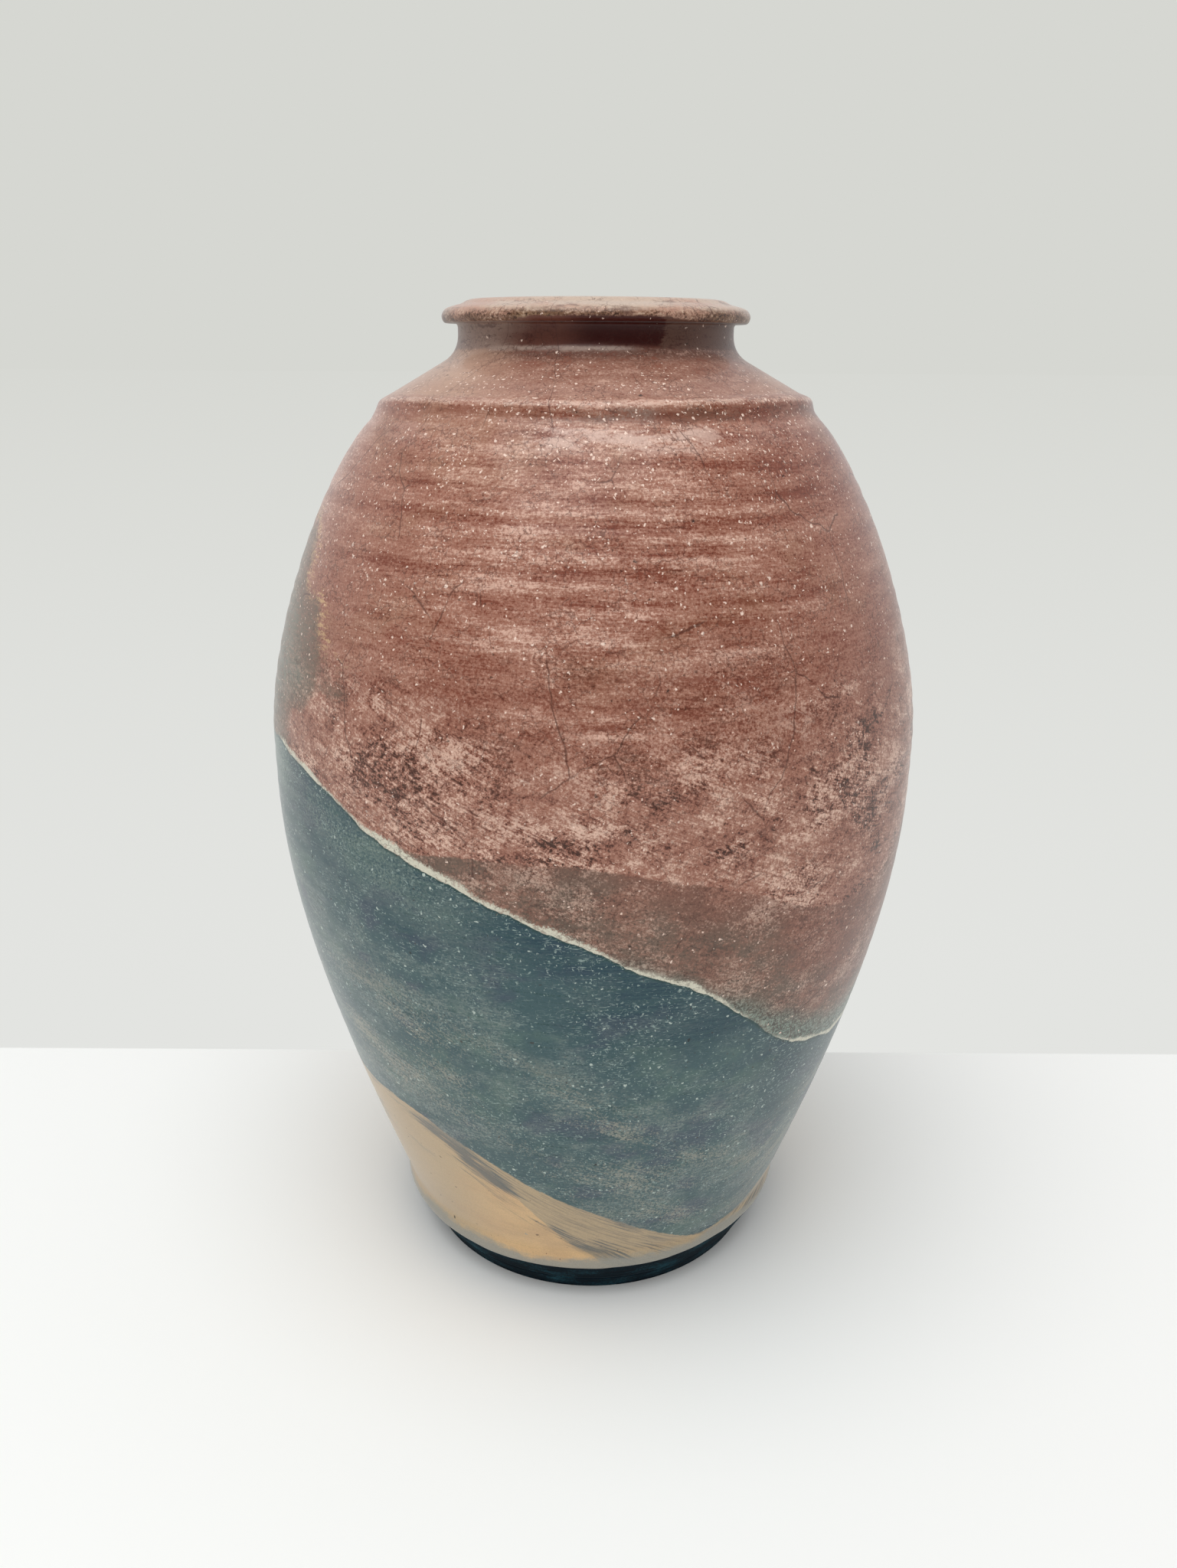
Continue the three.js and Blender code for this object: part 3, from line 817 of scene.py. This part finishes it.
def paintFoot(f, colour):
    # tan slip shows under the teal's lower end, crossed by dry brushing along the end
    c, tanWave = glazeShades, f.wavy("tanEnd")
    dry = f.bristles(tanWave, 12, 0.8, 4, 0.75)
    reach = f.bristles(tanWave, 34, 14, 2, 0.5)
    sandEnd = f.tanEnd - f.larger(f.wavy("sandWidth"), 0) + f.wander * 3
    sandShade = f.blend(c["sand"], c["stroke"], f.ramp(dry, 0.44, 0.62, 0, 0.5))
    tan = f.blend(tanGround(f), sandShade, f.above(sandEnd, 0.8) * 0.85)
    colour = f.blend(tan, colour, f.above(f.tanEnd, 0.8))
    washShare = f.band(f.tanEnd - 21, f.tanEnd, 6) * f.ramp(dry * 0.5 + reach * 0.8, 0.62, 0.76, 0, 0.85)
    colour = f.blend(colour, c["stroke"], washShare)
    brushed = dry * 0.5 + reach * 0.6 + f.grit * 0.7
    fleckShare = f.band(f.tanEnd + 1, f.tanEnd + 52, 20) * f.ramp(brushed, 0.92, 1.10, 0, 0.8)
    return f.blend(colour, c["fleck"], fleckShare)


def paintLine(f, colour):
    # one pale line where the coats meet, crisp and dark edged below, crumbling above
    c = glazeShades
    thick = f.ramp(f.grain((26, 26, 26), 2, shift=41), 0.38, 0.64, 0.2, 2.3)
    crumbs = f.ragged * 3 + (f.grit - 0.5) * 4
    onLine = f.ramp(f.over, -0.1, 0.2) * f.ramp(f.over - thick + crumbs, -0.3, 0.9, 1, 0)
    onLine = onLine * f.ramp(f.grain((50, 50, 50), 2, shift=47), 0.38, 0.47, 0.1, 1)
    colour = f.blend(colour, c["bloomPit"], f.ramp(f.over, -1.1, -0.4) * f.ramp(f.over, 0.1, -0.1) * 0.7)
    return f.blend(colour, c["line"], onLine * f.ramp(f.ragged, -0.14, -0.05, 0.5, 1))


def paintSpecks(f, colour):
    # specks, pits and cracks, with the relief that they make
    c, belowRose = glazeShades, f.under(f.roseEnd, 1)
    cloudy = f.ramp(f.grain((14, 14, 9), 2, shift=61), 0.38, 0.6, 0.2, 1)
    density = f.ramp(f.level, 205, 264, 0.3, 0.95) * f.ramp(f.level, 278, 286, 1, 0.15) * cloudy
    density = density * f.ramp(f.over - f.larger(f.wavy("overlap"), 0), -4, 4, 0.5, 1)
    density = density + f.ramp(f.apart(f.level, 271.6), 2.4, 1) * f.ramp(f.x, -42, 0, 0.2, 1)
    cream = f.larger(f.specks(1.1, 0.32, density, 71), f.specks(2.4, 0.46, density * 0.6, 77))
    colour = f.blend(colour, c["speckCream"], cream * f.ramp(f.over, 1, 2) * 0.9)
    snow = f.ramp(f.grain((20, 20, 14), 2, shift=63), 0.36, 0.6, 0.3, 1) * f.above(f.tanEnd, 0.8)
    dashes = f.ramp(f.grain((1.7, 1.7, 0.3), 1, 0.5, shift=69), 0.62, 0.72) * snow
    faint = f.larger(f.specks(1.2, 0.34, snow, 83), dashes) * belowRose
    colour = f.blend(colour, c["speckSoft"], faint * 0.85)
    hairs = f.veins(f.grain((2.6, 2.6, 2.6), 1, 0.5, shift=109, warp=0.8), 0.02)
    hairs = hairs * f.ramp(f.grain((1.8, 1.8, 1.8), 1, 0.5, shift=111), 0.52, 0.6) * snow * belowRose
    colour = f.blend(colour, c["speckSoft"], hairs * 0.75)
    white = f.specks(2.3, 0.46, snow * 0.6, 89) * belowRose
    colour = f.blend(colour, c["speckWhite"], white * 0.9)
    colour = f.blend(colour, c["pepper"], f.specks(2.2, 0.34, 0.3, 93) * 0.7)
    holes = f.specks(8, 0.5, 0.6, 97)
    colour = f.blend(colour, c["hole"], holes * 0.9)
    crazing = f.ramp(f.cells((2.8, 2.8, 2.2), "DISTANCE_TO_EDGE", shift=9, place=f.shaken), 0.01, 0.06, 1, 0)
    crazing = crazing * f.ramp(f.grain((12, 12, 8), 2, shift=105), 0.42, 0.58, 0.1, 0.5)
    cracks = f.larger(crackLines(f) * 0.65, crazing) * f.above(f.tanEnd, 4) * f.above(f.roseEnd, 1)
    relief = f.grit * 0.3 + cream * 0.5 + white * 0.4 - holes - cracks
    return f.blend(colour, c["crack"], cracks), relief, holes


def glazeFinish():
    f, c = Coats("raku_glaze"), glazeShades
    mottleShare = f.ramp(f.z + f.wander * 44 + (f.patch - 0.5) * 70, 224, 184)
    rose = paintSmoke(f, f.blend(roseGround(f), mottledRose(f), mottleShare * 0.9))
    upper = f.blend(overlapGround(f, rose), rose, f.above(f.tealEnd, 0.7))
    colour = f.blend(tealGround(f, f.over * -1), upper, f.ramp(f.over, -0.25, 0.25))

    # green bloom where the teal thins out below the rose
    bloom = f.ramp(f.over, -24, -6) * f.ramp(f.over, 0.2, -0.2)
    bloom = bloom * f.ramp(f.grit * 0.9 + f.patch * 0.5, 0.60, 0.92, 0, 0.75)
    colour = f.blend(colour, c["bloom"], bloom * f.ramp(f.turn, -0.1, -0.8, 0.05, 1))
    colour = paintRim(f, paintLine(f, paintFoot(f, colour)))
    colour, relief, holes = paintSpecks(f, colour)

    # the glaze runs out into a grey cream bead over the bare foot
    fromEdge = f.level - potShape["glazeEdge"]
    beaded = f.ramp(fromEdge - f.ragged * 2 - f.wander * 9 - f.hatch * 3, 4.4, 1.6, 0, 0.92)
    colour = f.blend(colour, c["bead"], beaded)
    colour = f.blend(colour, c["hole"], f.ramp(fromEdge + f.ragged * 0.8, 0.5, -0.2, 0, 0.6))

    # fine unevenness of the fired surface
    sand = f.grain((0.42, 0.42, 0.42), 1, 0.5, shift=107)
    colour = f.add("ShaderNodeVectorMath", {"operation": "SCALE"}, {0: colour, "Scale": sand * 0.3 + 0.85})
    relief = relief + f.ramp(f.over, -0.6, 0.6) * 0.6
    bump = f.add("ShaderNodeBump", None, {"Strength": 0.4, "Distance": 0.12 * mm, "Height": relief})
    rough = 0.27 + f.grit * 0.2 + f.above(f.roseEnd, 1) * 0.05 + holes * 0.3
    return f.close(
        Base_Color=colour, Roughness=rough, Normal=bump, Specular_IOR_Level=0.22,
        Coat_Weight=0.2, Coat_Roughness=0.12, Sheen_Weight=0.22, Sheen_Roughness=0.35)


def liningFinish():
    f = Finish("lining_glaze_pale")
    cloud = f.grain((20, 20, 12), 4, 0.6)
    grit = f.grain((1.2, 1.2, 1.2), 3, 0.6)
    colour = f.blend(shade(176, 160, 142), shade(140, 118, 104), f.ramp(cloud * 0.8 + grit * 0.2, 0.42, 0.66))
    cracks = f.ramp(f.cells((14, 14, 14), "DISTANCE_TO_EDGE"), 0, 0.02, 1, 0)
    colour = f.blend(colour, shade(66, 52, 48), cracks * 0.6)
    bump = f.add("ShaderNodeBump", None, {"Strength": 0.3, "Distance": 0.1 * mm, "Height": grit - cracks})
    return f.close(Base_Color=colour, Roughness=0.32 + grit * 0.15, Normal=bump)


def smokedFinish():
    f = Finish("smoked_clay_matte")
    grit = f.grain((0.7, 0.7, 0.7), 3, 0.65)
    cloud = f.grain((14, 14, 5), 3, 0.6)
    turned = f.grain((60, 60, 0.7), 3, 0.6, shift=3)
    colour = f.blend(shade(0, 20, 31), shade(30, 72, 84), f.ramp(cloud * 0.6 + grit * 0.4, 0.46, 0.7))
    colour = f.blend(colour, shade(0, 4, 8), f.ramp(turned, 0.46, 0.34, 0, 0.6))
    relief = grit * 0.7 + turned
    bump = f.add("ShaderNodeBump", None, {"Strength": 0.6, "Distance": 0.2 * mm, "Height": relief})
    return f.close(Base_Color=colour, Roughness=0.72 + grit * 0.2, Normal=bump, Specular_IOR_Level=0.1)


def biscuitFinish():
    f = Finish("biscuit_clay_matte")
    grit = f.grain((0.8, 0.8, 0.8), 4, 0.65)
    cloud = f.grain((20, 20, 20), 3, 0.6)
    colour = f.blend(shade(140, 126, 110), shade(96, 88, 80), f.ramp(cloud * 0.6 + grit * 0.4, 0.4, 0.65))
    bump = f.add("ShaderNodeBump", None, {"Strength": 0.5, "Distance": 0.2 * mm, "Height": grit})
    return f.close(Base_Color=colour, Roughness=0.8 + grit * 0.1, Normal=bump)


def dress(piece, material):
    piece.data.materials.append(material)


dress(glazeCoatPiece, glazeFinish())
dress(liningPiece, liningFinish())
smoked, biscuit = smokedFinish(), biscuitFinish()
dress(lowerClayPiece, smoked)
dress(ringPiece, smoked)
for node in ["upper_body", "shoulder_collar", "lip_ring"]:
    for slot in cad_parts[node].material_slots:
        slot.material = biscuit
print("finishes are on")

# The table, its back edge and the pale wall beyond in metres, and the lights
studio = {
    "half": 12, "wallLine": 0.082, "lineSoft": 0.0012, "viewFrom": 0.3726, "viewHeight": 0.2892,
    "floor": shade(249, 250, 248), "wallLow": shade(227, 228, 225), "wallHigh": shade(214, 215, 210),
    "worldLight": 0.61, "roomAhead": 0.1, "roomBehind": 0.8, "roomTurn": (-0.5, 0.3),
    "lampPower": 10.15, "lampPlace": (-0.13, -0.4, 1.34), "lampSize": 1.2, "lampAim": (0, 0, 0.15),
}


def paleFloor():
    # the table lies in front of a line, and beyond it the same plane shows as the wall would
    bm = bmesh.new()
    bmesh.ops.create_grid(bm, x_segments=1, y_segments=1, size=studio["half"])
    mesh = bpy.data.meshes.new("floor")
    bm.to_mesh(mesh)
    bm.free()
    floor = bpy.data.objects.new("floor", mesh)
    bpy.context.collection.objects.link(floor)
    finish = Finish("pale_floor")
    depth = finish.add("ShaderNodeSeparateXYZ", None, {0: finish.place}, "Y")
    beyond = finish.ramp(depth, studio["wallLine"], studio["wallLine"] + studio["lineSoft"])
    lineDrop = studio["viewHeight"] / (studio["wallLine"] + studio["viewFrom"])
    height = 1 - studio["viewHeight"] / (depth + studio["viewFrom"]) / lineDrop
    wall = finish.blend(studio["wallLow"], studio["wallHigh"], height * height)
    seen = finish.ray("Is Camera Ray") + finish.ray("Is Glossy Ray")
    glow = finish.add("ShaderNodeEmission", None, {"Color": wall, "Strength": 1})
    card = finish.add("ShaderNodeBsdfDiffuse", None, {"Color": studio["floor"]})
    mixed = finish.add("ShaderNodeMixShader", None, {0: beyond * seen, 1: card, 2: glow})
    mesh.materials.append(finish.surface(mixed))


def studioLight():
    # the room is even for light, and darker ahead of the vase for what the glaze mirrors
    room = Finish("pale_room", bpy.data.worlds.new("pale_room"))
    bpy.context.scene.world = room.material
    ahead = room.add("ShaderNodeSeparateXYZ", None, {0: room.add("ShaderNodeTexCoord")}, "Y")
    mirrored = room.ramp(ahead, *studio["roomTurn"], studio["roomAhead"], studio["roomBehind"])
    strength = studio["worldLight"] + room.ray("Is Glossy Ray") * (mirrored - studio["worldLight"])
    light = room.add("ShaderNodeBackground", None, {"Color": (1, 1, 1, 1), "Strength": strength})
    seen = room.add("ShaderNodeBackground", None, {"Color": studio["wallHigh"]})
    mixed = room.add("ShaderNodeMixShader", None, {0: room.ray("Is Camera Ray"), 1: light, 2: seen})
    room.surface(mixed, "ShaderNodeOutputWorld")
    lamp = bpy.data.lights.new("soft_box", "AREA")
    lamp.shape = "DISK"
    lamp.size = studio["lampSize"]
    lamp.energy = studio["lampPower"]
    holder = bpy.data.objects.new("soft_box", lamp)
    holder.location = studio["lampPlace"]
    towards = Vector(studio["lampAim"]) - holder.location
    holder.rotation_euler = towards.to_track_quat("-Z", "Y").to_euler()
    bpy.context.collection.objects.link(holder)


paleFloor()
studioLight()
print("the stage is lit")

# Solved from the rim, ridge and foot in the photograph, in millimetres and degrees
cameraStand = {"place": (-1.35, -372.6, 289.2), "pitch": 20.04, "roll": 0.327, "lens": 27.914}


def standCamera():
    data = bpy.data.cameras.new("camera")
    data.lens = cameraStand["lens"]
    data.clip_start = 0.01
    camera = bpy.data.objects.new("camera", data)
    bpy.context.collection.objects.link(camera)
    aim = Matrix.Rotation(math.radians(90 - cameraStand["pitch"]), 4, "X")
    roll = Matrix.Rotation(math.radians(cameraStand["roll"]), 4, "Z")
    camera.matrix_world = Matrix.Translation(Vector(cameraStand["place"]) * mm) @ aim @ roll
    bpy.context.scene.camera = camera


standCamera()
bpy.context.scene.view_settings.view_transform = "Standard"
print("the camera stands")
